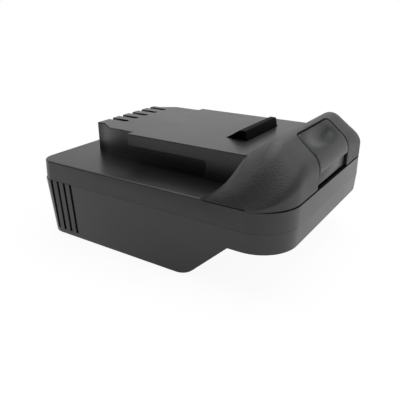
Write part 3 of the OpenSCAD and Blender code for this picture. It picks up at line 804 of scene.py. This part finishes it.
run_gap = 0.42 * MM
button_half = 13.75 * MM
button_depth = 8.8 * MM
button_corner_r = 2.5 * MM
button_roll = 0.5 * MM
button_thickness = 3.0 * MM
button_bottom = -0.9 * MM
scoop_sweep = 40.0 * MM
scoop_r = 6.0 * MM
scoop_depth = 1.0 * MM
scoop_blend = 0.6 * MM
fine_step = 0.55 * MM
button_grey = (0.014, 0.0147, 0.0152)


def scoop_level(point):
    """Height of the scooped face: a tube bent round a wide circle, pressed into the slope."""
    run = point.x - (roll_len + slope_len / 2)
    if abs(run) >= scoop_r:
        return 0.0
    reach = scoop_sweep + math.sqrt(scoop_r ** 2 - run ** 2)
    cut = scoop_sweep + scoop_r - scoop_depth - math.sqrt(max(0.0, reach ** 2 - point.y ** 2))
    return (cut - math.sqrt(cut ** 2 + scoop_blend ** 2)) / 2


def level_steps(low, high, step):
    count = max(1, round((high - low) / step))
    return [low + (high - low) * index / count for index in range(count + 1)]


button_loop = opening_loop(button_half - run_gap, button_depth - run_gap,
    button_corner_r - run_gap, button_bottom, fine_step)
button_loop += spaced(button_loop[-1], button_loop[0], fine_step)[1:]
button_loop.reverse()
nose_smooth = moulded_plastic("button_plastic", button_grey, 0.27, 0.3 * MM, 0.008 * MM, 0.2)
nose_bend, bend_keys = nose_tree()
button_sheet = pressed_sheet(button_loop, button_roll,
    level_steps(button_bottom, along_section(button_depth), fine_step),
    level_steps(-button_half, button_half, fine_step), scoop_level, button_thickness,
    lambda point: (-button_thickness, 0.0))
button_mesh = grown(button_sheet, nose_bend, bend_keys, nose_smooth, nose_sizes)


def add_block(shape, low, high, radius):
    """Adds a box with rounded edges, given by two corners."""
    round_profile = 0.5
    made = bmesh.ops.create_cube(shape, size=1.0)["verts"]
    size = high - low
    place = Matrix.Translation((low + high) / 2) @ Matrix.Diagonal((*size, 1.0))
    bmesh.ops.transform(shape, matrix=place, verts=made)
    edges = list(dict.fromkeys(edge for vert in made for edge in vert.link_edges))
    bmesh.ops.bevel(shape, geom=edges, offset=radius, segments=bevel_segments,
        affect="EDGES", profile=round_profile)


def add_pin(shape, x, y, low, high, diameter):
    sides = 24
    place = Matrix.Translation((x, y, (low + high) / 2))
    bmesh.ops.create_cone(shape, cap_ends=True, segments=sides, radius1=diameter / 2,
        radius2=diameter / 2, depth=high - low, matrix=place)


button_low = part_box("release_button")[0]
skirt_face = nose_front - 0.7 * MM
skirt_back = skirt_face - 2.6 * MM
skirt_half = button_half - 1.8 * MM
skirt_low = deck + 0.6 * MM
lip_height = chin + 0.2 * MM
skirt_edge_r = 0.3 * MM
post_spot = (nose_front - button_depth + run_gap + 1.8 * MM, 6.0 * MM)
post_d = 2.6 * MM
post_top = 39 * MM
shape = bmesh.new()
shape.from_mesh(button_mesh)
add_block(shape, Vector((skirt_back, -skirt_half, skirt_low)),
    Vector((skirt_face, skirt_half, lip_height)), skirt_edge_r)
for side in (-1, 1):
    add_pin(shape, post_spot[0], side * post_spot[1], button_low.z, post_top, post_d)
for face in shape.faces:
    face.smooth = True
shape.to_mesh(button_mesh)
shape.free()
button_mesh.set_sharp_from_angle(angle=crease_angle)
show("thumb_button", button_mesh, nose_smooth, "latch_unit", "button", "release_button")

# Upper housing: deck, side band, rail platform and slotted terminal tongue in one moulding
# of the same charcoal plastic. It drops over the skirt and is screwed to it from below.
deck_level = deck / MM
seam_level = seam / MM
flange_t = 4.5
flange_low = platform_top - flange_t


def top_radius(ends, normals):
    """Rounds the rim, platform and flanges well, and the slots, window and seams a little."""
    rim_r = 0.4
    seam_r = 0.05
    platform_r = 0.45
    slot_r = 0.15
    flange_r = 0.35
    corner_r = 0.6
    slots_end, slots_right, slots_left = -28, -13, 16
    window_rear, window_front, window_right, window_left = 13.5, 22.8, -11, 15
    upright = 1
    nose_from = 24
    low = min(end.z for end in ends)
    high = max(end.z for end in ends)
    middle = (ends[0] + ends[1]) / 2
    in_slots = middle.x < slots_end and slots_right < middle.y < slots_left
    in_window = window_rear < middle.x < window_front and window_right < middle.y < window_left

    def lies_at(level):
        return low > level - level_slack and high < level + level_slack

    if low > platform_top - level_slack:
        return slot_r if in_slots or in_window else platform_r
    if high > flange_low - level_slack and high - low > upright:
        return slot_r if in_slots or in_window else corner_r
    if lies_at(flange_low):
        return flange_r
    if lies_at(deck_level):
        return rim_r if middle.x < nose_from else 0.0
    if high < skirt_top + level_slack or lies_at(seam_level):
        return seam_r
    return 0.0


def lean_band(shape):
    """Moves the foot of the side band out to the skirt's edge, which is a little wider."""
    corner_centre = (36.5, 26.8)
    inside_wall = 11.5
    foot_slack = 0.05
    steep = 0.5
    set_back = 0.04 * MM
    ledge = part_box("lower_housing")[1].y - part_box("upper_housing")[1].y - set_back
    for vert in shape.verts:
        past = [max(0.0, abs(place) / MM - centre) for place, centre in zip(vert.co.xy, corner_centre)]
        if vert.co.z / MM < skirt_top + foot_slack and math.hypot(*past) > inside_wall:
            outward = sum(face.normal.y for face in vert.link_faces if abs(face.normal.z) < steep)
            vert.co.y += math.copysign(min(1.0, abs(outward)), vert.co.y) * ledge


show("deck_moulding", moulding("upper_housing", top_radius, lean_band), charcoal_plastic,
    "shell", "housing", "upper_housing")

# Nose cover: the grained moulding at the front, whose rounded flanks fall to the deck. It
# has an opening for the button, a rolled edge all round, and is screwed on from below.
cover_thickness = 2.2 * MM
cover_roll = 0.2 * MM
cover_gap = 0.55 * MM
rim_lift = 0.35 * MM
rim_fade = 2.0 * MM
cover_bottom = seam + cover_gap - chin
deep = 20 * MM


def flank_rows():
    """Places across the nose, closer together towards its sides."""
    steps = 26
    flank_top = half_width - flank_w
    rows = level_steps(0.0, flank_top, fine_step)[:-1]
    rows += [flank_top + flank_w * math.sin(math.pi / 2 * i / steps) for i in range(steps + 1)]
    return rows


def cover_outline():
    """The flat outline: bottom edge with the button's opening, sides and rear edge."""
    corner_clear = 0.3 * MM
    side_step = 0.8 * MM
    rows = flank_rows()
    opening = opening_loop(button_half, button_depth, button_corner_r, cover_bottom, fine_step)
    right = [Vector((cover_bottom, y)) for y in reversed(rows) if y > button_half + corner_clear]
    left = [Vector((point.x, -point.y)) for point in reversed(right)]
    bottom = right + opening + left
    rear = [Vector((section_len, -y)) for y in reversed(rows)]
    rear += [Vector((section_len, y)) for y in rows[1:]]
    up = spaced(left[-1], rear[0], side_step)[1:]
    down = spaced(rear[-1], right[0], side_step)[1:]
    return bottom + up + rear + down


def cover_level(point):
    """Lift of the face towards the rear edge, which stands a little proud."""
    share = max(0.0, 1 - (section_len - point.x) / rim_fade)
    return rim_lift * share * share


def cover_under(point):
    """Level and drop of the lower face: the rear edge has a wall down to the floor."""
    if point.x > section_len - merge_distance:
        return 0.0, deep
    return -cover_thickness, 0.0


cover_loop = cover_outline()
mirrored_rows = sorted({round(sign * y, 9) for y in flank_rows() for sign in (-1, 1)})
grained_plastic = moulded_plastic("grained_plastic", charcoal, 0.5, 0.4 * MM, 0.16 * MM, 0.6)
cover_sheet = pressed_sheet(cover_loop, cover_roll,
    level_steps(cover_bottom, section_len, fine_step), mirrored_rows, cover_level,
    cover_thickness, cover_under)
cover_mesh = grown(cover_sheet, nose_bend, bend_keys, grained_plastic, nose_sizes)
cover_mesh.set_sharp_from_angle(angle=crease_angle)
show("grained_nose", cover_mesh, grained_plastic, "shell", "nose", "nose_cover")

# Studio: a pale floor that keeps a soft shadow and a white room whose reflection is bright
# low on the far side and dim elsewhere. A broad lamp hangs overhead, and a lamp that shows in
# no reflection stands at the nose end. The camera stands as the photograph's did.
far_side = (-0.556, 0.831, 0.0)


def ray_kinds(start):
    """1 for each kind of ray: from the camera, mirrored, and seen through."""
    path = start.make("ShaderNodeLightPath", output="Is Camera Ray").output.node
    names = ("Is Camera Ray", "Is Glossy Ray", "Is Transmission Ray")
    return [Socket(start.tree, path.outputs[name]) for name in names]


def far_share(start, place, low, high):
    """Grows smoothly from 0 to 1 towards the far side, between two distances."""
    along = start.make("ShaderNodeVectorMath", {"operation": "DOT_PRODUCT"},
        {0: place, 1: far_side}, "Value")
    step = ((along - low) / (high - low)).between(0.0, 1.0)
    return step * step * (3 - 2 * step)


def pale_floor():
    near_share = 0.93
    fade_start = 0.06
    fade_end = 0.3
    dim_until = -0.08
    white_from = 0.005
    floor_white = rgba((0.86, 0.86, 0.86))
    material = bpy.data.materials.new("pale_floor")
    material.use_nodes = True
    tree = material.node_tree
    tree.nodes.clear()
    start = Socket(tree)
    matt = start.make("ShaderNodeBsdfDiffuse", None, {"Color": floor_white})
    glow = start.make("ShaderNodeEmission", None, {"Color": (1.0, 1.0, 1.0, 1.0), "Strength": 1.0})
    place = start.make("ShaderNodeTexCoord", output="Object")
    middle = start.make("ShaderNodeVectorMath", {"operation": "LENGTH"}, {0: place}, "Value")
    fade = ((middle - fade_start) / (fade_end - fade_start)).between(0.0, 1.0)
    camera, mirrored, clear = ray_kinds(start)
    share = camera * (near_share + fade * (1 - near_share)) + clear
    share = share + mirrored * far_share(start, place, dim_until, white_from)
    mixed = start.make("ShaderNodeMixShader", None, {0: share, 1: matt, 2: glow})
    start.make("ShaderNodeOutputMaterial", None, {"Surface": mixed})
    return material


floor_half = 3.0
floor_mesh = bpy.data.meshes.new("floor")
corners = [(-floor_half, -floor_half, 0), (floor_half, -floor_half, 0),
    (floor_half, floor_half, 0), (-floor_half, floor_half, 0)]
floor_mesh.from_pydata(corners, [], [(0, 1, 2, 3)])
floor_mesh.materials.append(pale_floor())
floor = bpy.data.objects.new("floor", floor_mesh)
bpy.context.scene.collection.objects.link(floor)


def white_room():
    room_level = 0.05
    far_level = 0.9
    near_level = 0.3
    wall_top = 0.45
    wall_fade = 0.14
    dim_from = 0.75
    dim_fade = 0.3
    far_from, far_full = -0.1, 0.3
    world = bpy.data.worlds.new("white_room")
    world.use_nodes = True
    background = world.node_tree.nodes["Background"]
    start = Socket(world.node_tree)
    towards = start.make("ShaderNodeTexCoord", output="Generated")
    up = start.make("ShaderNodeVectorMath", {"operation": "DOT_PRODUCT"},
        {0: towards, 1: (0.0, 0.0, 1.0)}, "Value")
    wall = ((wall_top - up) / wall_fade).between(0.0, 1.0)
    low = ((dim_from - up) / dim_fade).between(0.0, 1.0)
    far = far_share(start, towards, far_from, far_full)
    camera, mirrored, clear = ray_kinds(start)
    seen = far * wall * far_level + (1 - far) * low * near_level
    lit = (1 - camera - mirrored - clear) * room_level
    strength = camera + clear + mirrored * seen + lit
    world.node_tree.links.new(strength.output, background.inputs["Strength"])
    background.inputs["Color"].default_value = (1.0, 1.0, 1.0, 1.0)
    return world


bpy.context.scene.world = white_room()


def soft_lamp(name, place, aim, width, power, mirrored=True):
    lamp = bpy.data.lights.new(name, "AREA")
    lamp.shape = "SQUARE"
    lamp.size = width
    lamp.energy = power
    piece = bpy.data.objects.new(name, lamp)
    bpy.context.scene.collection.objects.link(piece)
    piece.location = place
    piece.rotation_euler = (Vector(aim) - Vector(place)).to_track_quat("-Z", "Y").to_euler()
    piece.visible_glossy = mirrored


soft_lamp("lamp_overhead", (-0.1, 0.37, 0.7), (-0.1, 0.37, 0), width=1.2, power=12.0)
soft_lamp("lamp_nose_end", (0.6, 0.05, 0.25), (0, 0, 0.03), width=0.5, power=4.0, mirrored=False)

image_px = 400
focal_px = 484.41
sensor_mm = 36.0
eye = Vector((94.74, -148.18, 83.24)) * MM
aim = Vector((18.05, -33.42, 24.5)) * MM
roll = math.radians(-0.44)
centre_px = (197.78, 202.43)
camera_data = bpy.data.cameras.new("camera")
camera_data.sensor_width = sensor_mm
camera_data.lens = focal_px / image_px * sensor_mm
camera_data.shift_x = (image_px / 2 - centre_px[0]) / image_px
camera_data.shift_y = (centre_px[1] - image_px / 2) / image_px
camera_data.clip_start = 5 * MM
camera = bpy.data.objects.new("camera", camera_data)
bpy.context.scene.collection.objects.link(camera)
view = (aim - eye).to_track_quat("-Z", "Y").to_matrix()
turned = view @ Matrix.Rotation(roll, 3, "Z")
camera.matrix_world = Matrix.Translation(eye) @ turned.to_4x4()
bpy.context.scene.camera = camera
bpy.context.scene.view_settings.view_transform = "Standard"
